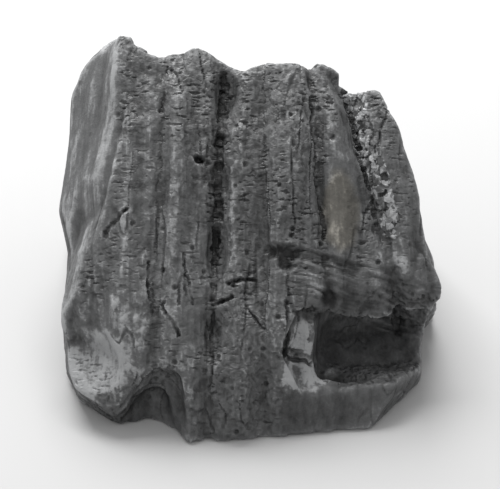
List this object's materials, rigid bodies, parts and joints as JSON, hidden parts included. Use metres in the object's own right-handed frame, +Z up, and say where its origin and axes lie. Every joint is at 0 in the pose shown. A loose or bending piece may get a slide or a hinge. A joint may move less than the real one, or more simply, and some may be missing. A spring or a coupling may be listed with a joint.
{
  "type": "charcoal lump",
  "caption": "Chunk of charred split wood: a broad face with grooves along the grain, stepped broken ends, a lip that overhangs a foot, and a small flat spot underneath to rest on.",
  "frame": {"origin": "middle of the bounding box's underside, on the flat spot that the lump rests on", "axes": "+Z up, +Y from the near, lower end of the grain towards the far, upper end, +X across the grain towards the side with the lip"},
  "size_m": [0.0826, 0.086, 0.0601],
  "materials": {
    "char": "matte, dry, charred"
  },
  "bodies": {
    "root": {"charcoal_lump": "char"}
  },
  "joints": []
}
